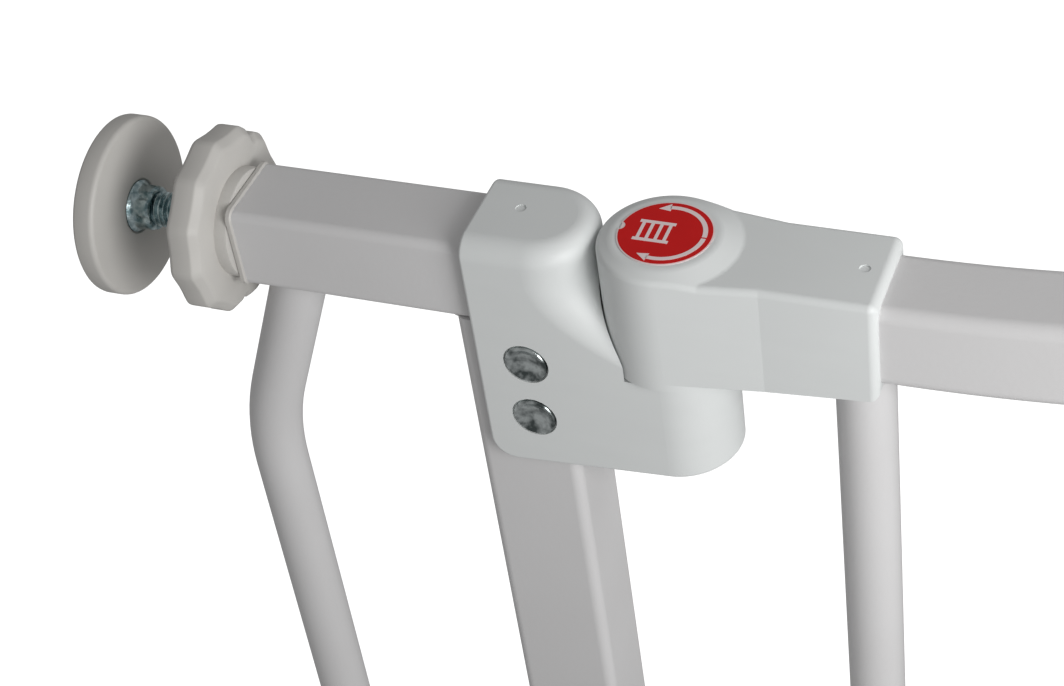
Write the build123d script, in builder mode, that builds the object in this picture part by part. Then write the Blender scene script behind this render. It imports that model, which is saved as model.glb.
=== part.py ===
from build123d import *
from math import acos, atan2, cos, degrees, hypot, radians, sin
import os

# Upper hinge corner of a pressure-fit stair gate, in millimetres.
# The origin is the middle of the wall pad's face, on the axis of the wall spindle.
# +X runs from the wall along the top tube to the gate, +Y to the back and +Z up.

os.makedirs("parts", exist_ok=True)

# Places along the top tube
wheel_x = 30.0
cap_x = 43.0
post_x = 121.9
hinge_x = 165.0
cut_z = -216.0
rail_cut_x = 270.0

# Wall pad, spindle and handwheel
pad_radius = 25.6
pad_thickness = 6.8
pad_face_radius = 21.5
pad_face_thickness = 1.5
rod_radius = 5.0
rod_end_x = 98.0
collar_radius = 8.5
wheel_radius = 26.4
wheel_sides = 12
wheel_rim = 9.0
boss_radius = 15.4
notch_radius = 3.4
notch_depth = 1.3
notch_angles = (45.0, 255.0)
wheel_front_bevel = 1.6
wheel_back_bevel = 0.8
boss_gap = 0.3
nut_flats = 17.0
nut_height = 8.0

# Steel tubes
tube_size = 25.0
tube_wall = 1.5
tube_corner = 2.5
post_width = 30.0
post_corner = 3.0
bar_radius = 8.0
flange_thickness = 1.5
flange_lip = 0.6
cap_plug = 12.0

# Outer bar: upright below, leaning in to the tube above its bend
bar_x = 31.3
bend_z = -77.0
bend_radius = 95.0
bar_top_x = 55.6

# Hinge bracket
bracket_left = 113.0
bracket_top = 16.9
bracket_half = 16.0
block_end_x = 130.5
web_top_z = 7.0
foot_top_z = -22.6
foot_bottom_z = -55.9
bracket_slope = 0.068
bracket_edge = 1.0
rivet_x = 127.5
rivet_heights = (-22.1, -41.4)
rivet_radius = 3.0
rivet_head_radius = 6.0
rivet_washer_radius = 6.5

# Hinge
pin_radius = 5.0
pin_head_radius = 8.0
pin_top_z = 7.5
bush_radius = 7.0
run_gap = 0.05
barrel_radius = 18.2
barrel_gap = 0.45
ring_bottom_z = -21.8
ring_top_z = -19.4
washer_top_z = -21.6
stop_radius = 12.8
peg_radius = 2.0
swing_back = 90.0
swing_front = 40.0
slot_gap = 0.3
washer_radius = 8.0
spigot_radius = 1.5
spigot_angles = (60.0, 300.0)

# Knuckle and gate
label_z = 16.6
label_radius = 12.7
knuckle_top = 14.0
sleeve_half = 14.7
sleeve_start_x = 193.5
sleeve_end_x = 223.4
sleeve_end_bottom = -16.8
dome_top_radius = 14.4
dome_base_radius = 20.0
dome_crown = 4.0
dome_blend = 2.5
knuckle_edge = 1.8
gate_mark_radius = 1.5
bracket_mark = (124.7, 1.7)
knuckle_mark = (216.9, 0.0)
rail_start_x = 187.0
rail_centre_z = -1.3
rail_bend_radius = 480.0
rail_corner = 3.5
gate_bar_x = 216.1
screw_places = ((192.0, 0), (201.0, 0))
screw_radius = 2.0
screw_head_radius = 3.8
screw_head_z = -16.6


def save(part, name):
    """Label a finished piece and write it to its own file."""
    part.label = name
    export_step(part, f"parts/{name}.step")


# ---------------------------------------------------------------- wall pad and spindle

# Moulded pad: a disc with soft edges, recessed for its rubber face and for the collar.
with BuildPart() as wall_pad:
    with BuildSketch(Plane.XY) as pad_section:
        with BuildLine():
            Polyline(
                (0.4, 0), (0.4, pad_radius), (pad_thickness, pad_radius), (pad_thickness, 0), close=True
            )
        make_face()
        rim = pad_section.vertices().group_by(Axis.Y)[-1].sort_by(Axis.X)
        fillet(rim[0], 1.0)
        fillet(rim[-1], 1.8)
    revolve(axis=Axis.X)
    with BuildSketch(Plane.YZ):
        Circle(pad_face_radius)
    extrude(amount=pad_face_thickness, mode=Mode.SUBTRACT)
    with BuildSketch(Plane.YZ.offset(2.4)):
        Circle(rod_radius)
    extrude(amount=pad_thickness, mode=Mode.SUBTRACT)
    with BuildSketch(Plane.YZ.offset(pad_thickness - 0.8)):
        Circle(collar_radius)
    extrude(amount=1, mode=Mode.SUBTRACT)
save(wall_pad.part, "wall_pad")

# Rubber disc that grips the wall.
with BuildPart() as pad_face:
    with BuildSketch(Plane.YZ):
        Circle(pad_face_radius)
    extrude(amount=pad_face_thickness)
    chamfer(pad_face.edges().group_by(Axis.X)[0], 0.3)
save(pad_face.part, "pad_face")

# Zinc-plated collar, flared where it bears on the pad.
with BuildPart() as spindle_collar:
    with BuildSketch(Plane.XY):
        with BuildLine():
            Polyline(
                (6.0, rod_radius), (6.0, collar_radius), (pad_thickness, collar_radius),
                (8.4, 6.9), (10.2, 6.2), (13.0, 6.2), (13.0, rod_radius), close=True
            )
        make_face()
    revolve(axis=Axis.X)
save(spindle_collar.part, "spindle_collar")

# Threaded rod, held in the pad and running back into the top tube.
with BuildPart() as spindle:
    with BuildSketch(Plane.YZ.offset(2.4)):
        Circle(rod_radius)
    extrude(amount=rod_end_x - 2.4)
    chamfer(spindle.edges().group_by(Axis.X)[-1], 1.0)
save(spindle.part, "spindle")

# ---------------------------------------------------------------- handwheel

# Moulded wheel: twelve flats with two finger notches, and a boss that bears on the tube's cap.
wheel_face_x = wheel_x + wheel_rim
notch_centre = wheel_radius * cos(radians(180 / wheel_sides)) - notch_depth + notch_radius
with BuildPart() as handwheel:
    with BuildSketch(Plane.YZ.offset(wheel_x)):
        RegularPolygon(wheel_radius, wheel_sides)
        for notch_angle in notch_angles:
            with PolarLocations(notch_centre, 1, start_angle=notch_angle):
                Circle(notch_radius, mode=Mode.SUBTRACT)
    extrude(amount=wheel_rim)
    chamfer(handwheel.faces().sort_by(Axis.X)[-1].edges(), wheel_front_bevel)
    chamfer(handwheel.faces().sort_by(Axis.X)[0].edges(), wheel_back_bevel)
    with BuildSketch(Plane.YZ.offset(wheel_face_x)):
        Circle(boss_radius)
    extrude(amount=cap_x - boss_gap - wheel_face_x)
    chamfer(handwheel.edges().group_by(Axis.X)[-1], 0.6)
    with BuildSketch(Plane.YZ.offset(wheel_x)):
        Circle(rod_radius + 0.4)
    extrude(amount=cap_x - wheel_x, mode=Mode.SUBTRACT)
    with BuildSketch(Plane.YZ.offset(wheel_x)):
        RegularPolygon(nut_flats / 2, 6, major_radius=False)
    extrude(amount=nut_height, mode=Mode.SUBTRACT)
save(handwheel.part, "handwheel")

# Hexagon nut pressed into the wheel from the wall side.
with BuildPart() as wheel_nut:
    with BuildSketch(Plane.YZ.offset(wheel_x)):
        RegularPolygon(nut_flats / 2, 6, major_radius=False)
        Circle(rod_radius + run_gap, mode=Mode.SUBTRACT)
    extrude(amount=nut_height)
save(wheel_nut.part, "wheel_nut")

# ---------------------------------------------------------------- welded frame

tube_start_x = cap_x + flange_thickness
tube_end_x = post_x + post_width / 2
tube_under_z = -tube_size / 2
tube_inner = tube_size - 2 * tube_wall
post_inner = post_width - 2 * tube_wall

# Moulded end cap: a square lip round the tube's mouth and a plug that guides the rod.
with BuildPart() as tube_end_cap:
    with BuildSketch(Plane.YZ.offset(cap_x)):
        RectangleRounded(tube_size + 2 * flange_lip, tube_size + 2 * flange_lip, tube_corner + 0.8)
    extrude(amount=flange_thickness)
    chamfer(tube_end_cap.edges().group_by(Axis.X)[-1], 0.4)
    with BuildSketch(Plane.YZ.offset(tube_start_x)):
        RectangleRounded(tube_inner, tube_inner, tube_corner - tube_wall)
    extrude(amount=cap_plug)
    with BuildSketch(Plane.YZ.offset(cap_x)):
        Circle(rod_radius + 0.3)
    extrude(amount=20, mode=Mode.SUBTRACT)
save(tube_end_cap.part, "tube_end_cap")

# Square top tube.
with BuildPart() as top_tube:
    with BuildSketch(Plane.YZ.offset(tube_start_x)):
        RectangleRounded(tube_size, tube_size, tube_corner)
        RectangleRounded(tube_inner, tube_inner, tube_corner - tube_wall, mode=Mode.SUBTRACT)
    extrude(amount=tube_end_x - tube_start_x)
save(top_tube.part, "top_tube")

# Post, welded under the top tube and drilled for the two rivets.
with BuildPart() as post_tube:
    with BuildSketch(Plane.XY.offset(cut_z)):
        with Locations((post_x, 0)):
            RectangleRounded(post_width, tube_size, post_corner)
            RectangleRounded(post_inner, tube_inner, post_corner - tube_wall, mode=Mode.SUBTRACT)
    extrude(amount=tube_under_z - cut_z)
    with BuildSketch(Plane.XZ.offset(-tube_size)):
        with Locations([(rivet_x, z) for z in rivet_heights]):
            Circle(rivet_radius)
    extrude(amount=2 * tube_size, mode=Mode.SUBTRACT)
save(post_tube.part, "post_tube")

# Round outer bar, bent once, with its top end cut level under the tube.
bar_lean = (bar_top_x - bar_x) / (tube_under_z - bend_z)
with BuildPart() as bent_bar:
    with BuildLine() as bar_line:
        FilletPolyline(
            (bar_x, 0, cut_z),
            (bar_x, 0, bend_z),
            (bar_top_x + 10 * bar_lean, 0, tube_under_z + 10),
            radius=bend_radius,
        )
    with BuildSketch(Plane.XY.offset(cut_z)):
        with Locations((bar_x, 0)):
            Circle(bar_radius)
            Circle(bar_radius - tube_wall, mode=Mode.SUBTRACT)
    sweep(path=bar_line.line)
    split(bisect_by=Plane.XY.offset(tube_under_z), keep=Keep.BOTTOM)
save(bent_bar.part, "bent_bar")

# Fillet welds: round the leaning bar's top, and along the post's outer corner.
weld_leg = 2.2
with BuildPart() as frame_welds:
    with BuildSketch(Plane.XY.offset(tube_under_z)):
        with Locations((bar_top_x, 0)):
            Ellipse(bar_radius * hypot(1, bar_lean) + weld_leg, bar_radius + weld_leg)
    with BuildSketch(Plane.XY.offset(tube_under_z - weld_leg)):
        with Locations((bar_top_x - weld_leg * bar_lean, 0)):
            Ellipse(bar_radius * hypot(1, bar_lean) + 0.2, bar_radius + 0.2)
    loft()
    with BuildSketch(Plane.XY.offset(tube_under_z + 1)):
        with Locations((bar_top_x + bar_lean, 0)):
            Ellipse(bar_radius * hypot(1, bar_lean), bar_radius)
    with BuildSketch(Plane.XY.offset(tube_under_z - weld_leg - 1)):
        with Locations((bar_top_x - (weld_leg + 1) * bar_lean, 0)):
            Ellipse(bar_radius * hypot(1, bar_lean), bar_radius)
    loft(mode=Mode.SUBTRACT)
    with BuildSketch(Plane.XZ.offset(-(tube_size / 2 - post_corner))):
        with Locations((post_x - post_width / 2, tube_under_z)):
            Polygon((0, 0), (0, -weld_leg), (-weld_leg, 0), align=None)
    extrude(amount=tube_size - 2 * post_corner)
save(frame_welds.part, "frame_welds")

# ---------------------------------------------------------------- hinge bracket


def bracket_outline(end_x):
    """Plan of the bracket at one height: square at the post, half round at the end."""
    Rectangle(end_x - bracket_left, 2 * bracket_half, align=(Align.MIN, Align.CENTER))
    with Locations((end_x - bracket_left, 0)):
        Circle(bracket_half)


# One moulding: a block over the tube and post, and a foot under the hinge. Its round end moves
# out from the block to the foot along a parabola, which makes the web between them.
web_steps = 6
web_drop = web_top_z - foot_top_z
web_reach = hinge_x - block_end_x
with BuildPart() as hinge_bracket:
    with BuildSketch(Plane((bracket_left, 0, foot_bottom_z - 12))):
        bracket_outline(hinge_x)
    extrude(amount=foot_top_z - foot_bottom_z + 12)
    for step in range(web_steps + 1):
        t = step / web_steps
        with BuildSketch(Plane((bracket_left, 0, web_top_z - t * web_drop))):
            bracket_outline(block_end_x + web_reach * t**2)
    loft()
    with BuildSketch(Plane((bracket_left, 0, web_top_z))):
        bracket_outline(block_end_x)
    extrude(amount=bracket_top - web_top_z)
    # The underside rises towards the hinge.
    under = Plane(
        origin=(hinge_x, 0, foot_bottom_z), x_dir=(1, 0, bracket_slope), z_dir=(-bracket_slope, 0, 1)
    )
    split(bisect_by=under, keep=Keep.TOP)
    top_rim = hinge_bracket.edges().group_by(Axis.Z)[-1].sort_by(Axis.X)[1:]
    fillet(top_rim, 5.8)
    corner = hinge_bracket.edges().filter_by(Axis.Y).sort_by(Axis.Z)[0]
    fillet(corner, 7.0)
    outer_edges = hinge_bracket.faces().sort_by(Axis.X)[0].edges()
    under_edges = hinge_bracket.faces().sort_by(Axis.Z)[0].edges()
    outer_edges += under_edges.filter_by(lambda edge: (edge @ 0.5).X > bracket_left + 1)
    fillet(outer_edges, bracket_edge)
    # Round recess for the knuckle, and room for the gate's arm as it swings back.
    with BuildSketch(Plane((hinge_x, 0, foot_top_z))):
        Circle(barrel_radius + barrel_gap)
    extrude(amount=60, mode=Mode.SUBTRACT)
    with BuildSketch(Plane((hinge_x - barrel_radius - barrel_gap, 0, ring_top_z - 0.5))):
        Rectangle(80, 40, align=(Align.MIN, Align.MIN))
    extrude(amount=60, mode=Mode.SUBTRACT)
    # Pocket for the post and the end of the top tube.
    with BuildSketch(Plane((bracket_left - 5, 0, foot_bottom_z - 20))):
        Rectangle(tube_end_x - bracket_left + 5, tube_size, align=(Align.MIN, Align.CENTER))
    extrude(amount=tube_size / 2 - foot_bottom_z + 20, mode=Mode.SUBTRACT)
    # Rivet holes, with a shallow seat for each head.
    with BuildSketch(Plane.XZ.offset(-30)):
        with Locations([(rivet_x, z) for z in rivet_heights]):
            Circle(rivet_radius)
    extrude(amount=60, mode=Mode.SUBTRACT)
    with BuildSketch(Plane.XZ.offset(bracket_half - 1.0)):
        with Locations([(rivet_x, z) for z in rivet_heights]):
            Circle(rivet_head_radius + 0.5)
    extrude(amount=5, mode=Mode.SUBTRACT)
    # Bore for the hinge pin, its head's seat and the hole for the stop peg.
    with BuildSketch(Plane((hinge_x, 0, foot_bottom_z - 5))):
        Circle(pin_radius)
    extrude(amount=60, mode=Mode.SUBTRACT)
    with BuildSketch(Plane((hinge_x, 0, foot_bottom_z - 5))):
        Circle(pin_head_radius + 0.3)
    extrude(amount=9, mode=Mode.SUBTRACT)
    with BuildSketch(Plane((hinge_x - stop_radius, 0, foot_top_z - 10))):
        Circle(peg_radius)
    extrude(amount=20, mode=Mode.SUBTRACT)
    # Witness mark of the mould's gate on top.
    with BuildSketch(Plane.XY.offset(bracket_top - 0.35)):
        with Locations(bracket_mark):
            Circle(gate_mark_radius)
    extrude(amount=5, mode=Mode.SUBTRACT)
save(hinge_bracket.part, "hinge_bracket")

# Two through rivets with dished heads at the front and a clinched end at the back.
with BuildPart() as bracket_rivets:
    for z in rivet_heights:
        with BuildSketch(Plane((rivet_x, 0, z), x_dir=(1, 0, 0), z_dir=(0, 0, 1))):
            with BuildLine():
                Polyline(
                    (0, -15.4), (3.6, -15.6), (5.2, -16.2), (rivet_head_radius, -16.2),
                    (rivet_head_radius, -15.0), (rivet_radius, -15.0), (rivet_radius, 17.2),
                    (4.6, 17.2), (4.2, 18.2), (0, 18.6), close=True
                )
            make_face()
        revolve(axis=Axis((rivet_x, 0, z), (0, 1, 0)))
save(bracket_rivets.part, "bracket_rivets")

# Plain washers under the clinched ends.
with BuildPart() as rivet_washers:
    with BuildSketch(Plane.XZ.offset(-bracket_half)):
        with Locations([(rivet_x, z) for z in rivet_heights]):
            Circle(rivet_washer_radius)
            Circle(rivet_radius, mode=Mode.SUBTRACT)
    extrude(amount=-1.2)
save(rivet_washers.part, "rivet_washers")

# ---------------------------------------------------------------- hinge pin and stop

# Steel pin, pressed up through the foot until its head seats.
with BuildPart() as hinge_pin:
    with BuildSketch(Plane((hinge_x, 0, foot_bottom_z + 1.0))):
        Circle(pin_head_radius)
    extrude(amount=3.0)
    with BuildSketch(Plane((hinge_x, 0, foot_bottom_z + 4.0))):
        Circle(pin_radius)
    extrude(amount=pin_top_z - foot_bottom_z - 4.0)
    chamfer(hinge_pin.edges().group_by(Axis.Z)[-1], 1.0)
save(hinge_pin.part, "hinge_pin")

# Acetal washer that carries the gate's weight on the foot.
with BuildPart() as thrust_washer:
    with BuildSketch(Plane((hinge_x, 0, foot_top_z))):
        Circle(washer_radius)
        Circle(pin_radius, mode=Mode.SUBTRACT)
    extrude(amount=washer_top_z - foot_top_z)
save(thrust_washer.part, "thrust_washer")

# Steel peg in the foot, which the slot in the stop ring runs against.
with BuildPart() as stop_peg:
    with BuildSketch(Plane((hinge_x - stop_radius, 0, foot_top_z - 10))):
        Circle(peg_radius)
    extrude(amount=ring_top_z - 0.3 - foot_top_z + 10)
save(stop_peg.part, "stop_peg")

# Stop ring, keyed into the knuckle by two spigots and slotted for the swing.
spigots = [(stop_radius * cos(radians(a)), stop_radius * sin(radians(a))) for a in spigot_angles]
swing_arc = CenterArc((0, 0), stop_radius, 180 - swing_back - 1, swing_back + swing_front + 2)
with BuildPart() as stop_ring:
    with BuildSketch(Plane((hinge_x, 0, ring_bottom_z))):
        Circle(barrel_radius)
        Circle(washer_radius + slot_gap, mode=Mode.SUBTRACT)
        SlotArc(swing_arc, 2 * (peg_radius + slot_gap), mode=Mode.SUBTRACT)
    extrude(amount=ring_top_z - ring_bottom_z)
    with BuildSketch(Plane((hinge_x, 0, ring_top_z))):
        with Locations(*spigots):
            Circle(spigot_radius)
    extrude(amount=4)
save(stop_ring.part, "stop_ring")

# ---------------------------------------------------------------- knuckle


def hinge_reach(edge):
    """Distance from the hinge axis to the middle of an edge."""
    middle = edge @ 0.5
    return hypot(middle.X - hinge_x, middle.Y)


def is_dome_edge(edge):
    """True for the two circles and the seam of the cone under the label."""
    reach = hinge_reach(edge)
    return reach < barrel_radius - 1 or abs(reach - dome_base_radius) < 0.1


def is_on_top(edge):
    """True for an edge on the knuckle's top."""
    return min((edge @ 0).Z, (edge @ 1).Z) > knuckle_top - 0.05


# Plan of the knuckle: the barrel, its tangents to the sleeve, and the sleeve.
shoulder = sleeve_start_x - hinge_x
tangent_angle = atan2(sleeve_half, shoulder) + acos(barrel_radius / hypot(shoulder, sleeve_half))
tangent_x = barrel_radius * cos(tangent_angle)
tangent_y = barrel_radius * sin(tangent_angle)
sleeve_length = sleeve_end_x - hinge_x
with BuildPart() as hinge_knuckle:
    with BuildSketch(Plane((hinge_x, 0, ring_top_z))):
        Circle(barrel_radius)
        Polygon(
            (tangent_x, tangent_y), (shoulder, sleeve_half), (sleeve_length, sleeve_half),
            (sleeve_length, -sleeve_half), (shoulder, -sleeve_half), (tangent_x, -tangent_y), align=None
        )
    extrude(amount=label_z - 0.2 - ring_top_z)
    # The top falls from the label's disc to the flat of the sleeve.
    with BuildSketch(Plane((hinge_x, 0, 0), x_dir=(1, 0, 0), z_dir=(0, -1, 0))):
        Polygon(
            (dome_top_radius, 40), (dome_top_radius, label_z - 0.2), (dome_base_radius, knuckle_top),
            (90, knuckle_top), (90, 40), align=None
        )
    revolve(axis=Axis((hinge_x, 0, 0), (0, 0, 1)), mode=Mode.SUBTRACT)
    # The sleeve's underside rises to its open end.
    with BuildSketch(Plane.XZ.offset(-30)):
        Polygon(
            (sleeve_start_x, ring_top_z), (sleeve_end_x, sleeve_end_bottom),
            (sleeve_end_x + 5, ring_top_z - 5), align=None
        )
    extrude(amount=60, mode=Mode.SUBTRACT)
    fillet(hinge_knuckle.faces().sort_by(Axis.X)[-1].edges(), 2.4)
    top_edges = hinge_knuckle.edges().filter_by(is_on_top)
    dome_edges = top_edges.filter_by(is_dome_edge)
    fillet([edge for edge in top_edges if edge not in dome_edges], knuckle_edge)
    top_edges = hinge_knuckle.edges().filter_by(is_on_top)
    fillet(top_edges.filter_by(lambda edge: abs(hinge_reach(edge) - dome_base_radius) < 0.3), dome_blend)
    top_edges = hinge_knuckle.edges().filter_by(is_on_top)
    fillet(top_edges.filter_by(lambda edge: abs(hinge_reach(edge) - dome_top_radius) < 0.2), dome_crown)
    # Socket for the gate rail and, below it, a slot for the gate bar.
    with BuildSketch(Plane.YZ.offset(rail_start_x)):
        with Locations((0, rail_centre_z)):
            RectangleRounded(tube_size, tube_size, rail_corner)
    extrude(amount=sleeve_end_x - rail_start_x + 5, mode=Mode.SUBTRACT)
    with BuildSketch(Plane.XY.offset(-30)):
        with Locations((gate_bar_x, 0)):
            Circle(bar_radius + 0.3)
            Rectangle(20, 2 * bar_radius + 0.6, align=(Align.MIN, Align.CENTER))
    extrude(amount=30 + rail_centre_z, mode=Mode.SUBTRACT)
    # Bore for the bush, sockets for the stop ring's spigots and seat for the label.
    with BuildSketch(Plane((hinge_x, 0, ring_top_z))):
        Circle(bush_radius)
    extrude(amount=pin_top_z + 1 - ring_top_z, mode=Mode.SUBTRACT)
    with BuildSketch(Plane((hinge_x, 0, ring_top_z))):
        with Locations(*spigots):
            Circle(spigot_radius)
    extrude(amount=4, mode=Mode.SUBTRACT)
    with BuildSketch(Plane((hinge_x, 0, label_z - 0.4))):
        Circle(label_radius)
    extrude(amount=5, mode=Mode.SUBTRACT)
    # Witness mark of the mould's gate on top of the sleeve.
    with BuildSketch(Plane.XY.offset(knuckle_top - 0.35)):
        with Locations(knuckle_mark):
            Circle(gate_mark_radius)
    extrude(amount=5, mode=Mode.SUBTRACT)
    # Screw holes through the underside, with seats for the heads.
    with BuildSketch(Plane.XY.offset(-30)):
        with Locations(*screw_places):
            Circle(screw_radius)
    extrude(amount=20, mode=Mode.SUBTRACT)
    with BuildSketch(Plane.XY.offset(-30)):
        with Locations(*screw_places):
            Circle(screw_head_radius + 0.2)
    extrude(amount=30 + screw_head_z, mode=Mode.SUBTRACT)
save(hinge_knuckle.part, "hinge_knuckle")

# Flanged acetal bush in the knuckle, running on the pin.
with BuildPart() as knuckle_bush:
    with BuildSketch(Plane((hinge_x, 0, washer_top_z + 0.1))):
        Circle(washer_radius)
    extrude(amount=ring_top_z - washer_top_z - 0.1)
    with BuildSketch(Plane((hinge_x, 0, ring_top_z))):
        Circle(bush_radius)
    extrude(amount=pin_top_z - 0.5 - ring_top_z)
    with BuildSketch(Plane((hinge_x, 0, washer_top_z))):
        Circle(pin_radius + run_gap)
    extrude(amount=60, mode=Mode.SUBTRACT)
save(knuckle_bush.part, "knuckle_bush")

# Round label set into the top of the knuckle.
with BuildPart() as direction_label:
    with BuildSketch(Plane((hinge_x, 0, label_z - 0.4))):
        Circle(label_radius)
    extrude(amount=0.4)
save(direction_label.part, "direction_label")

# ---------------------------------------------------------------- gate

# Square gate rail: straight in the sleeve, then rising in a long arc.
with BuildPart() as gate_rail:
    with BuildLine(Plane.XZ) as rail_line:
        Line((rail_start_x, rail_centre_z), (sleeve_end_x, rail_centre_z))
        JernArc(
            start=(sleeve_end_x, rail_centre_z),
            tangent=(1, 0),
            radius=rail_bend_radius,
            arc_size=degrees((rail_cut_x - sleeve_end_x) / rail_bend_radius),
        )
    with BuildSketch(Plane.YZ.offset(rail_start_x)):
        with Locations((0, rail_centre_z)):
            RectangleRounded(tube_size, tube_size, rail_corner)
            RectangleRounded(tube_inner, tube_inner, rail_corner - tube_wall, mode=Mode.SUBTRACT)
    sweep(path=rail_line.line)
    with BuildSketch(Plane.XY.offset(-30)):
        with Locations(*screw_places):
            Circle(screw_radius)
    extrude(amount=25, mode=Mode.SUBTRACT)
save(gate_rail.part, "gate_rail")

# Round upright of the gate, welded under the rail.
rail_under_z = rail_centre_z - tube_size / 2
with BuildPart() as gate_bar:
    with BuildSketch(Plane.XY.offset(cut_z)):
        with Locations((gate_bar_x, 0)):
            Circle(bar_radius)
            Circle(bar_radius - tube_wall, mode=Mode.SUBTRACT)
    extrude(amount=rail_under_z - cut_z)
save(gate_bar.part, "gate_bar")

# Self-tapping screws that hold the sleeve to the rail from below.
with BuildPart() as rail_screws:
    with BuildSketch(Plane.XY.offset(screw_head_z - 2.2)):
        with Locations(*screw_places):
            Circle(screw_head_radius)
    extrude(amount=2.2)
    with BuildSketch(Plane.XY.offset(screw_head_z)):
        with Locations(*screw_places):
            Circle(screw_radius)
    extrude(amount=7.0)
save(rail_screws.part, "rail_screws")
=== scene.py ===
from math import atan2, cos, pi, radians, sin

import bmesh
import bpy
from mathutils import Matrix, Vector


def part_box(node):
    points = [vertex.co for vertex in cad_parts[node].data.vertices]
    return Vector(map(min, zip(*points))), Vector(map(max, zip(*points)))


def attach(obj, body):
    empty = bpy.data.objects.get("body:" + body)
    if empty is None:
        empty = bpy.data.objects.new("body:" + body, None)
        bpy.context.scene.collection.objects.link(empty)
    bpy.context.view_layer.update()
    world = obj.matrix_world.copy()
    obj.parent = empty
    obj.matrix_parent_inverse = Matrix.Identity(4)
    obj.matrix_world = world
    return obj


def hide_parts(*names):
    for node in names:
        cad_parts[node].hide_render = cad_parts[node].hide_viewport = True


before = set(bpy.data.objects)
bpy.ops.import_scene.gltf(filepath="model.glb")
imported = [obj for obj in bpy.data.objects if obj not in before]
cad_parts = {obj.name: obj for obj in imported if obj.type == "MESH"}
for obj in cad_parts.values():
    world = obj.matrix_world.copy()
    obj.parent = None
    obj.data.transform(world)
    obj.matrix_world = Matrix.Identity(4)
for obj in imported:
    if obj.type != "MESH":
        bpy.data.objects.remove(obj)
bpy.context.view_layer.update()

# ---------------------------------------------------------------- studio
# A camera in front of the hinge corner, above it and a little to its gate side.
# The floor is where a house's floor lies under the top of a stair gate, well below.
# A large soft light stands on the gate side, with a faint one over the gate and one before it.
# The rest of the room is an even dim grey.

camera_place = (0.33678, -0.42096, 0.37963)
camera_heading = radians(27.0)
camera_dip = radians(40.88)
camera_roll = radians(-9.45)
sensor_width = 36.0
focal_ratio = 2279.39 / 1064
camera_data = bpy.data.cameras.new("camera")
camera_data.sensor_fit = "HORIZONTAL"
camera_data.sensor_width = sensor_width
camera_data.lens = focal_ratio * sensor_width
camera_data.clip_start = 0.01
camera = bpy.data.objects.new("camera", camera_data)
bpy.context.scene.collection.objects.link(camera)
camera.matrix_world = (
    Matrix.Translation(camera_place)
    @ Matrix.Rotation(camera_heading, 4, "Z")
    @ Matrix.Rotation(pi / 2 - camera_dip, 4, "X")
    @ Matrix.Rotation(camera_roll, 4, "Z")
)
bpy.context.scene.camera = camera
bpy.context.scene.view_settings.view_transform = "Standard"

floor_height = -0.75
floor_reach = 20
floor_mesh = bpy.data.meshes.new("floor")
floor_shape = bmesh.new()
bmesh.ops.create_grid(floor_shape, x_segments=1, y_segments=1, size=floor_reach)
bmesh.ops.translate(floor_shape, verts=floor_shape.verts, vec=(0, 0, floor_height))
floor_shape.to_mesh(floor_mesh)
floor_shape.free()
floor = bpy.data.objects.new("floor", floor_mesh)
bpy.context.scene.collection.objects.link(floor)
floor_paint = bpy.data.materials.new("pale floor")
floor_paint.use_nodes = True
floor_shader = floor_paint.node_tree.nodes["Principled BSDF"]
floor_shader.inputs["Base Color"].default_value = (0.9, 0.9, 0.9, 1)
floor_shader.inputs["Roughness"].default_value = 0.9
floor_shader.inputs["Emission Color"].default_value = (1, 1, 1, 1)
floor_shader.inputs["Emission Strength"].default_value = 0.85
floor_mesh.materials.append(floor_paint)
floor.visible_diffuse = False
floor.visible_glossy = False

room = bpy.data.worlds.new("room")
room.use_nodes = True
room_light = room.node_tree.nodes["Background"]
room_light.inputs["Color"].default_value = (1, 1, 1, 1)
room_light.inputs["Strength"].default_value = 0.3
bpy.context.scene.world = room

soft_lights = {
    "gate side light": ((0.66, -0.32, 0.19), (0.14, 0.0, -0.02), 0.35, 2.55),
    "light over the gate": ((0.44, 0.10, 0.24), (0.25, 0.0, 0.0), 0.20, 0.22),
    "light before the gate": ((0.40, -0.30, -0.02), (0.25, 0.0, -0.03), 0.20, 0.2),
}
for name, (place, lit, width, power) in soft_lights.items():
    light_data = bpy.data.lights.new(name, "AREA")
    light_data.shape = "DISK"
    light_data.size = width
    light_data.energy = power
    light = bpy.data.objects.new(name, light_data)
    bpy.context.scene.collection.objects.link(light)
    aim = Vector(lit) - Vector(place)
    light.matrix_world = Matrix.Translation(place) @ aim.to_track_quat("-Z", "Y").to_matrix().to_4x4()


# ---------------------------------------------------------------- steel frame
# The square top tube, the post and the two round bars are welded steel tube.
# They carry a white powder coat, whose skin has a faint orange peel.


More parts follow.
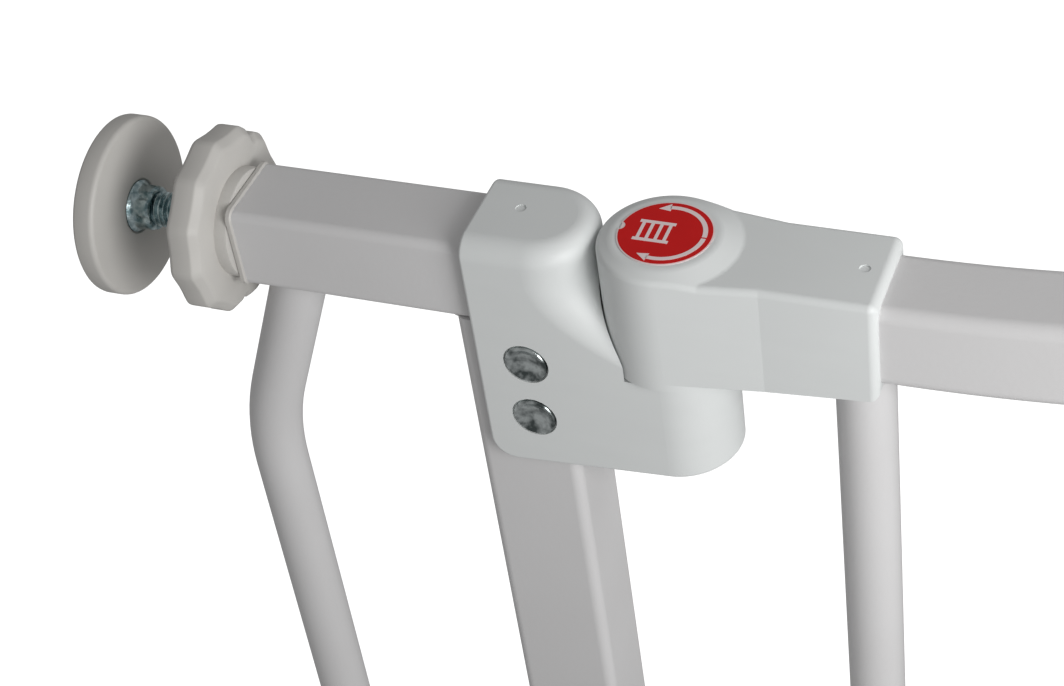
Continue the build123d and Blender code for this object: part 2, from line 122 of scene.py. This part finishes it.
class Shade:
    """A socket in a material's tree. Arithmetic on it adds Math nodes."""

    def __init__(self, tree, socket=None):
        self.tree = tree
        self.socket = socket

    def node(self, kind, settings=None, inputs=None, output=0):
        """Adds a node: its settings first, then a value or a link for each socket."""
        made = self.tree.nodes.new(kind)
        for name, value in (settings or {}).items():
            if name == "stops":
                ramp = made.color_ramp.elements
                while len(ramp) < len(value):
                    ramp.new(1)
                for stop, (place, level) in zip(ramp, value):
                    stop.position = place
                    stop.color = (level, level, level, 1)
            else:
                setattr(made, name, value)
        for name, value in (inputs or {}).items():
            if isinstance(value, Shade):
                self.tree.links.new(value.socket, made.inputs[name])
            else:
                made.inputs[name].default_value = value
        return Shade(self.tree, made.outputs[output])

    def maths(self, operation, left, right):
        return self.node("ShaderNodeMath", {"operation": operation}, {0: left, 1: right})

    def __add__(self, other):
        return self.maths("ADD", self, other)

    __radd__ = __add__

    def __sub__(self, other):
        return self.maths("SUBTRACT", self, other)

    def __rsub__(self, other):
        return self.maths("SUBTRACT", other, self)

    def __mul__(self, other):
        return self.maths("MULTIPLY", self, other)

    __rmul__ = __mul__


def new_finish(name, **fixed):
    """A material, its shader and a Shade to build on. The shader's fixed values go straight on it."""
    paint = bpy.data.materials.new(name)
    paint.use_nodes = True
    tree = paint.node_tree
    shader = tree.nodes["Principled BSDF"]
    for socket, value in fixed.items():
        shader.inputs[socket.replace("_", " ")].default_value = value
    return paint, shader, Shade(tree)


def noise(shade, place, size_mm, detail=2.0, rough=0.5):
    """Noise whose features are about size_mm across."""
    settings = {"noise_dimensions": "3D"}
    inputs = {"Vector": place, "Scale": 1000 / size_mm, "Detail": detail, "Roughness": rough}
    return shade.node("ShaderNodeTexNoise", settings, inputs)


def tones(shade, mask, dark, light):
    """A colour between two, by a mask."""
    inputs = {0: mask, 6: (*dark, 1), 7: (*light, 1)}
    return shade.node("ShaderNodeMix", {"data_type": "RGBA"}, inputs, output=2)


def feed(shader, **sockets):
    """Links varying values to the shader's sockets."""
    for name, value in sockets.items():
        value.tree.links.new(value.socket, shader.inputs[name.replace("_", " ")])


def repaint(finish, *names):
    """Gives CAD pieces their finish."""
    for name in names:
        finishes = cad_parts[name].data.materials
        finishes.clear()
        finishes.append(finish)


powder_coat, shader, shade = new_finish("powder coat", Coat_Weight=0.25, Coat_Roughness=0.12)
place = shade.node("ShaderNodeTexCoord", output="Object")
peel = noise(shade, place, 1.6, detail=3)
cloud = noise(shade, place, 34)
film = noise(shade, place, 7, detail=4)
feed(
    shader,
    Base_Color=tones(shade, cloud, (0.655, 0.645, 0.645), (0.70, 0.695, 0.698)),
    Roughness=0.30 + 0.16 * film,
    Normal=shade.node("ShaderNodeBump", None, {"Strength": 0.16, "Distance": 0.00025, "Height": peel}),
)
repaint(powder_coat, "top_tube", "post_tube", "bent_bar", "gate_rail", "gate_bar")

# ---------------------------------------------------------------- welds
# A bead runs round the outer bar where it meets the tube and along the post's outer corner.
# Each was laid in short steps, and the powder coat went over it.


def finished(name, shape, finishes, body, stands_for=(), crease=38):
    """Closes a bmesh into a smooth-shaded object that rides on a body."""
    bmesh.ops.remove_doubles(shape, verts=shape.verts, dist=1e-6)
    bmesh.ops.recalc_face_normals(shape, faces=shape.faces)
    for face in shape.faces:
        face.smooth = True
    for edge in shape.edges:
        edge.smooth = edge.calc_face_angle(0) < radians(crease)
    mesh = bpy.data.meshes.new(name)
    shape.to_mesh(mesh)
    shape.free()
    for finish in finishes:
        mesh.materials.append(finish)
    made = bpy.data.objects.new(name, mesh)
    bpy.context.scene.collection.objects.link(made)
    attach(made, body)
    if stands_for:
        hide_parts(*stands_for)
    return made


mm = 0.001
tube_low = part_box("top_tube")[0]
bar_low, bar_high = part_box("bent_bar")
post_low, post_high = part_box("post_tube")
bead_radius = 1.3 * mm
bead_sides = 10
ring_steps = 168
seam_steps = 60
seam_margin = 2.5 * mm
ripple_depth = 0.14 * mm
ripples_round_bar = 26
ripples_per_mm = 2.6
bar_radius = (bar_high.y - bar_low.y) / 2
bar_centre = bar_high.x - bar_radius
bar_lean = 24.3 / 64.5
on_side = Matrix.Rotation(pi / 2, 4, "X")
welds = bmesh.new()
ring = bmesh.ops.create_circle(
    welds, segments=bead_sides, radius=bead_radius,
    matrix=Matrix.Translation((bar_radius + 0.5 * mm, 0, 0)) @ on_side,
)
bmesh.ops.spin(
    welds, geom=ring["verts"] + list({edge for v in ring["verts"] for edge in v.link_edges}),
    cent=(0, 0, 0), axis=(0, 0, 1), angle=2 * pi, steps=ring_steps, use_merge=True,
)
bmesh.ops.scale(welds, verts=welds.verts, vec=((1 + bar_lean**2) ** 0.5, 1, 1))
bmesh.ops.translate(welds, verts=welds.verts, vec=(bar_centre - 0.9 * mm, 0, tube_low.z - 0.3 * mm))
seam_start = (post_low.x - 0.2 * mm, post_low.y + seam_margin, tube_low.z - 0.2 * mm)
seam_stride = (post_high.y - post_low.y - 2 * seam_margin) / seam_steps
seam = bmesh.ops.create_circle(
    welds, segments=bead_sides, radius=bead_radius, cap_ends=True,
    matrix=Matrix.Translation(seam_start) @ on_side,
)
end = seam["verts"][0].link_faces[0]
for step in range(seam_steps):
    bead = bmesh.ops.extrude_face_region(welds, geom=[end], use_keep_orig=step == 0)
    end = [part for part in bead["geom"] if isinstance(part, bmesh.types.BMFace)][0]
    bmesh.ops.translate(welds, verts=end.verts, vec=(0, seam_stride, 0))
for vert in welds.verts:
    if vert.co.x < post_low.x - 10 * mm:
        ripple = sin(atan2(vert.co.y, vert.co.x - bar_centre) * ripples_round_bar)
    else:
        ripple = sin(vert.co.y / mm * ripples_per_mm)
    vert.co.z -= ripple_depth * ripple
finished("weld_beads", welds, [powder_coat], "frame", ["frame_welds"])

# ---------------------------------------------------------------- wall pad
# The pad is one round moulding in a warm white, turned over softly at its rim.
# It is recessed behind for the rubber and in front for the collar.


def turned(outline, steps=96):
    """Spins an outline of (x, radius) points in mm about the spindle's axis."""
    shape = bmesh.new()
    verts = [shape.verts.new((x * mm, 0, radius * mm)) for x, radius in outline]
    edges = [shape.edges.new(pair) for pair in zip(verts, verts[1:])]
    if outline[0][1] > 0 or outline[-1][1] > 0:
        edges.append(shape.edges.new((verts[-1], verts[0])))
    bmesh.ops.spin(
        shape, geom=verts + edges, cent=(0, 0, 0), axis=(1, 0, 0), angle=2 * pi, steps=steps, use_merge=True
    )
    bmesh.ops.remove_doubles(shape, verts=shape.verts, dist=1e-6)
    return shape


def soften(shape, width, segments, chosen):
    """Rounds the chosen edges."""
    bmesh.ops.bevel(
        shape, geom=[edge for edge in shape.edges if chosen(edge)], offset=width * mm, segments=segments,
        profile=0.5, affect="EDGES", material=-1, clamp_overlap=True,
    )


def on_ring(x, radius):
    """Picks the edges of one ring of a turned shape."""
    def chosen(edge):
        return all(
            abs(v.co.x / mm - x) < 0.02 and abs(v.co.yz.length / mm - radius) < 0.05 for v in edge.verts
        )
    return chosen


def moulding(name, dark, light, roughness):
    """Moulded plastic: a spark-eroded grain, slow clouding and faint flow lines."""
    paint, shader, shade = new_finish(name, IOR=1.46, Specular_IOR_Level=0.45)
    place = shade.node("ShaderNodeTexCoord", output="Object")
    drawn = shade.node("ShaderNodeMapping", None, {"Vector": place, "Scale": (0.35, 1, 1.6)})
    grain = noise(shade, place, 0.55, detail=3, rough=0.6)
    cloud = noise(shade, place, 26)
    flow = noise(shade, drawn, 9, detail=3)
    feed(
        shader,
        Base_Color=tones(shade, 0.6 * cloud + 0.4 * flow, dark, light),
        Roughness=roughness - 0.06 + 0.14 * flow,
        Normal=shade.node("ShaderNodeBump", None, {"Strength": 0.1, "Distance": 0.00012, "Height": grain}),
    )
    return paint


warm_white = moulding("warm white moulding", (0.535, 0.52, 0.495), (0.605, 0.59, 0.56), 0.46)
pad_radius = 25.6
pad_front = 6.8
pad_back = 0.4
seat_radius = 7.9
pad = turned([
    (1.5, 0), (1.5, 21.5), (pad_back, 21.5), (pad_back, pad_radius),
    (pad_front, pad_radius), (pad_front, seat_radius), (6.2, 7.7), (6.2, 0),
])
soften(pad, 1.5, 5, on_ring(pad_front, pad_radius))
soften(pad, 1.0, 3, on_ring(pad_back, pad_radius))
soften(pad, 0.2, 2, on_ring(pad_front, seat_radius))
finished("pad_moulding", pad, [warm_white], "spindle", ["wall_pad"])

# ---------------------------------------------------------------- pad rubber
# A disc of grey rubber is glued into the back of the pad, where it grips the wall.
# Six ring-shaped grooves are moulded into its face.

rubber, shader, shade = new_finish("rubber", Specular_IOR_Level=0.3)
place = shade.node("ShaderNodeTexCoord", output="Object")
bloom = noise(shade, place, 5, detail=4)
pores = noise(shade, place, 0.3)
feed(
    shader,
    Base_Color=tones(shade, bloom, (0.10, 0.10, 0.105), (0.16, 0.16, 0.165)),
    Roughness=0.62 + 0.2 * bloom,
    Normal=shade.node("ShaderNodeBump", None, {"Strength": 0.3, "Distance": 0.0001, "Height": pores}),
)
groove_count = 6
groove_depth = 0.45
groove_spacing = 3.0
first_groove = 2.2
rubber_outline = [(0.0, 0.0), (0.0, first_groove)]
for number in range(groove_count):
    start = first_groove + groove_spacing * number
    rubber_outline += [
        (groove_depth, start + 0.3), (groove_depth, start + 1.1), (0.0, start + 1.4),
        (0.0, start + groove_spacing),
    ]
rubber_outline += [(0.0, 20.9), (0.3, 21.3), (1.5, 21.3), (1.5, 0.0)]
finished("pad_rubber", turned(rubber_outline), [rubber], "spindle", ["pad_face"])

# ---------------------------------------------------------------- spindle
# The spindle is a steel rod with a rolled M10 thread, bright zinc plated.
# It doesn't turn: the nut in the handwheel drives it out against the wall.


def plating(name, dark, light, smooth, patch_size, depth):
    """Zinc plating: duller patches among bright crystals, over a slightly hammered surface. The patches
    also darken the metal's colour: partly the plating's own spangle, partly a painted reflection of a
    darker room.
    """
    paint, shader, shade = new_finish(name, Metallic=1.0)
    place = shade.node("ShaderNodeTexCoord", output="Object")
    crystals = noise(shade, place, patch_size / 2, detail=4, rough=0.6)
    spangle_and_painted_reflection = noise(shade, place, patch_size, detail=3, rough=0.55)
    spangle_and_painted_reflection = shade.node("ShaderNodeValToRGB", {"stops": [(0.36, 0.0), (0.62, 1.0)]}, {"Fac": spangle_and_painted_reflection})
    hammered = {"Strength": depth, "Distance": 0.0003, "Height": crystals}
    feed(
        shader,
        # The darker blue-grey tone is partly the plating's spangle, partly a painted reflection of a darker
        # room in front.
        Base_Color=tones(shade, spangle_and_painted_reflection, dark, light),
        Roughness=smooth + 0.26 * crystals - 0.06 * spangle_and_painted_reflection,
        Normal=shade.node("ShaderNodeBump", None, hammered),
    )
    return paint


zinc = plating("zinc plate", (0.15, 0.235, 0.255), (0.56, 0.67, 0.69), 0.14, 2.3, 0.45)
pitch = 1.5
turn_steps = 32
rod_low, rod_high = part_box("spindle")
root_radius = 4.08
crest_radius = 5.0
thread = bmesh.new()
tooth = [
    (0, root_radius), (0.12, root_radius), (0.65, crest_radius), (0.85, crest_radius),
    (1.38, root_radius), (pitch, root_radius),
]
start = rod_low.x - 2 * pitch * mm
verts = [thread.verts.new((start + x * mm, 0, radius * mm)) for x, radius in tooth]
edges = [thread.edges.new(pair) for pair in zip(verts, verts[1:])]
turns = int((rod_high.x - rod_low.x) / mm / pitch) + 4
bmesh.ops.spin(
    thread, geom=verts + edges, cent=(0, 0, 0), axis=(1, 0, 0), dvec=(pitch / turn_steps * mm, 0, 0),
    angle=2 * pi * turns, steps=turn_steps * turns,
)
bmesh.ops.remove_doubles(thread, verts=thread.verts, dist=0.01 * mm)
for cut_x, facing in ((rod_low.x, -1), (rod_high.x, 1)):
    bmesh.ops.bisect_plane(
        thread, geom=thread.verts[:] + thread.edges[:] + thread.faces[:],
        plane_co=(cut_x, 0, 0), plane_no=(facing, 0, 0), clear_outer=True,
    )
bmesh.ops.holes_fill(thread, edges=[edge for edge in thread.edges if edge.is_boundary], sides=0)
finished("spindle_thread", thread, [zinc], "spindle", ["spindle"])

# ---------------------------------------------------------------- collar
# A zinc-plated collar is staked on the rod and flares where it bears on the pad.
# Six marks of the staking tool are left round its neck.

collar = turned([
    (6.0, 4.7), (6.0, 7.15), (6.3, 7.45), (6.7, 7.45), (7.1, 7.1), (7.5, 6.7), (8.0, 6.45), (8.6, 6.35),
    (9.6, 6.3), (10.8, 6.3), (11.8, 6.35), (12.5, 6.2), (12.9, 5.8), (13.0, 5.3), (13.0, 4.7),
], steps=64)
tool_marks = 6
mark_turn = 0.6
mark_edge = 0.55
mark_depth = 0.09
for vert in collar.verts:
    around = atan2(vert.co.z, vert.co.y)
    if vert.co.yz.length > 5.8 * mm and 8.2 * mm < vert.co.x < 12.7 * mm:
        dent = max(0.0, cos(tool_marks * around + mark_turn) - mark_edge) / (1 - mark_edge)
        vert.co.yz = vert.co.yz * (1 - mark_depth * dent)
finished("staked_collar", collar, [zinc], "spindle", ["spindle_collar"])

# ---------------------------------------------------------------- handwheel
# The handwheel is moulded in the same warm white, with twelve flats and two finger notches.
# Its boss bears on the tube's cap, and a hexagon nut is pressed in from the wall side.

wheel_radius = 26.4
flats = 12
hollow = 0.3
notch_radius = 3.4
notch_depth = 1.3
notch_angles = (radians(45.0), radians(255.0))


def wheel_edge(around):
    """The wheel's radius at an angle: a slightly hollow flat, rounded at its corners, or a notch."""
    step = 2 * pi / flats
    off = around % step - step / 2
    flat = wheel_radius * cos(step / 2) / cos(off)
    edge = min(flat - hollow * cos(off * pi / step) ** 2, wheel_radius - 0.2)
    centre = wheel_radius * cos(step / 2) - notch_depth + notch_radius
    for notch in notch_angles:
        side = centre * sin(around - notch)
        if cos(around - notch) > 0 and abs(side) < notch_radius:
            edge = min(edge, centre * cos(around - notch) - (notch_radius**2 - side**2) ** 0.5)
    return edge


wheel = turned([
    (30.9, 5.4), (30.9, 11.2), (30.0, 11.2), (30.0, 25.2), (30.2, 25.8), (30.7, 26.25),
    (31.5, wheel_radius), (33.5, wheel_radius), (36.5, wheel_radius), (36.9, 26.25), (37.2, 26.0),
    (38.55, 24.6), (38.85, 24.2), (39.0, 23.6), (39.0, 18.0), (39.0, 15.4), (42.1, 15.4),
    (42.55, 15.2), (42.7, 14.8), (42.7, 5.4),
], steps=288)
rim_starts = 20
for vert in wheel.verts:
    radius = vert.co.yz.length / mm
    if radius > rim_starts:
        around = atan2(vert.co.z, vert.co.y)
        vert.co.yz = vert.co.yz * ((radius - wheel_radius + wheel_edge(around)) / radius)
finished(
    "wheel_moulding", wheel, [warm_white], "handwheel", ["handwheel"], crease=32
)
repaint(zinc, "wheel_nut", "rivet_washers", "rail_screws")
repaint(warm_white, "tube_end_cap")

# ---------------------------------------------------------------- hinge bracket
# One moulding in a cooler white clasps the post and the tube's end and sweeps out under the hinge.
# The knuckle above it and the stop ring are moulded in the same material.

cool_white = moulding("cool white moulding", (0.69, 0.71, 0.705), (0.745, 0.765, 0.76), 0.42)
repaint(cool_white, "hinge_bracket", "hinge_knuckle", "stop_ring")

# ---------------------------------------------------------------- rivets
# Two zinc-plated rivets hold the bracket to the post. Their heads are shallow dishes with a
# rolled rim, and their tails are rolled over washers behind.

rivet_x = 127.5
rivet_heights = (-22.1, -41.4)
head_front = -16.25
dish_depth = 1.3
dish_radius = 5.1
dish_steps = 8
head_outline = []
for step in range(dish_steps + 1):
    out = step / dish_steps
    head_outline.append((head_front + dish_depth * (1 - out**2.4), dish_radius * out))
head_outline += [
    (head_front - 0.12, 5.35), (head_front - 0.08, 5.6), (head_front + 0.12, 5.85),
    (head_front + 0.45, 6.0), (-15.0, 6.0),
]
tail_outline = [
    (-15.0, 2.95), (17.2, 2.95), (17.2, 4.5), (17.6, 4.7), (18.1, 4.6), (18.4, 4.0), (18.45, 3.2),
    (18.2, 2.5), (17.4, 2.1), (13.0, 2.0), (13.0, 0.0),
]
rivets = bmesh.new()
for height in rivet_heights:
    rivet = turned(head_outline + tail_outline, steps=64)
    across = Matrix.Rotation(pi / 2, 3, "Z")
    bmesh.ops.rotate(rivet, verts=rivet.verts, cent=(0, 0, 0), matrix=across)
    bmesh.ops.translate(rivet, verts=rivet.verts, vec=(rivet_x * mm, 0, height * mm))
    one = bpy.data.meshes.new("one rivet")
    rivet.to_mesh(one)
    rivet.free()
    rivets.from_mesh(one)
    bpy.data.meshes.remove(one)
# The rivets' zinc has stronger dark and bright patches than the rest: partly the plating's spangle, partly
# painted dark reflections.
rivet_zinc_painted_reflection = plating("zinc plate with painted reflections", (0.11, 0.13, 0.13), (0.72, 0.77, 0.77), 0.12, 4.0, 0.4)
finished("rivets", rivets, [rivet_zinc_painted_reflection], "frame", ["bracket_rivets"])

# ---------------------------------------------------------------- pin, washer, bush and peg
# The hinge turns on a ground steel pin, which runs in an acetal bush over an acetal washer.
# A steel peg in the bracket's foot runs in the stop ring's slot and limits the swing.

pin_steel, shader, shade = new_finish("ground steel", Metallic=1.0)
place = shade.node("ShaderNodeTexCoord", output="Object")
ground = shade.node("ShaderNodeMapping", None, {"Vector": place, "Scale": (0.2, 0.2, 8.0)})
lines = noise(shade, ground, 1.2, detail=4)
feed(
    shader,
    Base_Color=tones(shade, lines, (0.5, 0.5, 0.5), (0.62, 0.62, 0.61)),
    Roughness=0.2 + 0.2 * lines,
)
acetal = moulding("natural acetal", (0.68, 0.68, 0.66), (0.74, 0.74, 0.72), 0.36)
repaint(pin_steel, "hinge_pin", "stop_peg")
repaint(acetal, "thrust_washer", "knuckle_bush")

# ---------------------------------------------------------------- direction label
# A round vinyl label, printed red inside a white border, lies in a seat on top of the knuckle.
# White arcs with arrow heads show that the gate opens both ways, and plain bars stand for the gate.

label_low, label_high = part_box("direction_label")
label_x = (label_low.x + label_high.x) / 2
label_radius = (label_high.x - label_low.x) / 2
vinyl_red, shader, shade = new_finish("red vinyl", Specular_IOR_Level=0.18)
place = shade.node("ShaderNodeTexCoord", output="Object")
ink = noise(shade, place, 6, detail=3)
feed(
    shader,
    Base_Color=tones(shade, ink, (0.56, 0.005, 0.005), (0.66, 0.008, 0.008)),
    Roughness=0.42 + 0.1 * ink,
)
vinyl_white, shader, shade = new_finish("white vinyl", Specular_IOR_Level=0.3)
place = shade.node("ShaderNodeTexCoord", output="Object")
ink = noise(shade, place, 6, detail=3)
feed(
    shader,
    Base_Color=tones(shade, ink, (0.80, 0.66, 0.66), (0.86, 0.74, 0.74)),
    Roughness=0.36 + 0.1 * ink,
)
print_height = 0.05 * mm


def flat_print(name, shape, finish, bottom, height):
    """Gives a flat printed shape its thickness, in place on the label."""
    raised = bmesh.ops.extrude_face_region(shape, geom=shape.faces[:], use_keep_orig=True)
    upper = [part for part in raised["geom"] if isinstance(part, bmesh.types.BMVert)]
    bmesh.ops.translate(shape, verts=upper, vec=(0, 0, height))
    bmesh.ops.translate(shape, verts=shape.verts, vec=(label_x, 0, bottom))
    return finished(name, shape, [finish], "gate", crease=30)


def notched_disc(radius, notch):
    """A disc with a small round bite in its wall-side edge."""
    shape = bmesh.new()
    bmesh.ops.create_circle(shape, segments=320, radius=radius, cap_ends=True)
    bite = Vector((-label_radius, 0.6 * mm, 0))
    for vert in shape.verts:
        away = vert.co - bite
        if away.length < notch:
            vert.co = bite + away.normalized() * notch
    return shape


border_disc = notched_disc(label_radius - 0.05 * mm, 1.25 * mm)
border_height = label_high.z - label_low.z - 0.02 * mm
border = flat_print("label_border", border_disc, vinyl_white, label_low.z, border_height)
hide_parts("direction_label")
red_disc = notched_disc(label_radius - 0.45 * mm, 1.65 * mm)
flat_print("label_red", red_disc, vinyl_red, label_high.z - 0.1 * mm, 0.1 * mm + print_height)


def arc_arrow(start, end, radius, width):
    """A printed arc with a pointed head at its end, angles in degrees."""
    head_degrees = 17
    head_overlap = 1
    head_spread = width * 1.15
    shape = bmesh.new()
    edge = bmesh.ops.create_vert(shape, co=((radius - width / 2) * mm, 0, 0))["vert"]
    edge += bmesh.ops.create_vert(shape, co=((radius + width / 2) * mm, 0, 0))["vert"]
    bar = shape.edges.new(edge)
    turn = Matrix.Rotation(radians(start), 3, "Z")
    bmesh.ops.rotate(shape, verts=edge, cent=(0, 0, 0), matrix=turn)
    bmesh.ops.spin(
        shape, geom=edge + [bar], cent=(0, 0, 0), axis=(0, 0, 1), angle=radians(end - start), steps=36
    )
    way = 1 if end > start else -1
    tip = radians(end + way * head_degrees)
    foot = radians(end - way * head_overlap)
    corners = [(foot, radius - head_spread), (foot, radius + head_spread), (tip, radius)]
    head = [shape.verts.new((cos(angle) * out * mm, sin(angle) * out * mm, 0)) for angle, out in corners]
    shape.faces.new(head if way > 0 else head[::-1])
    bmesh.ops.recalc_face_normals(shape, faces=shape.faces)
    return shape


print_top = label_high.z + print_height - 0.03 * mm
ink_height = 0.08 * mm
arrow_radius = 10.3
arrow_width = 1.25
for name, start, end in (("back_arrow", 1.5, 100), ("front_arrow", -1.5, -100)):
    arrow = arc_arrow(start, end, arrow_radius, arrow_width)
    flat_print(name, arrow, vinyl_white, print_top, ink_height)
bar_places = (-6.6, -4.2, -1.8, 0.6)
bar_length = 6.0
bar_width = 0.9
rail_places = (-3.6, 3.6)
rail_length = 9.6
rail_width = 1.1
rail_middle = -3.0
strips = [((across, 0), (bar_width, bar_length)) for across in bar_places]
strips += [((rail_middle, height), (rail_length, rail_width)) for height in rail_places]
gate_bars = bmesh.new()
for (x, y), (x_size, y_size) in strips:
    bmesh.ops.create_grid(
        gate_bars, x_segments=1, y_segments=1, size=0.5 * mm,
        matrix=Matrix.Translation((x * mm, y * mm, 0)) @ Matrix.Diagonal((x_size, y_size, 1, 1)),
    )
flat_print("gate_sign", gate_bars, vinyl_white, print_top, ink_height)
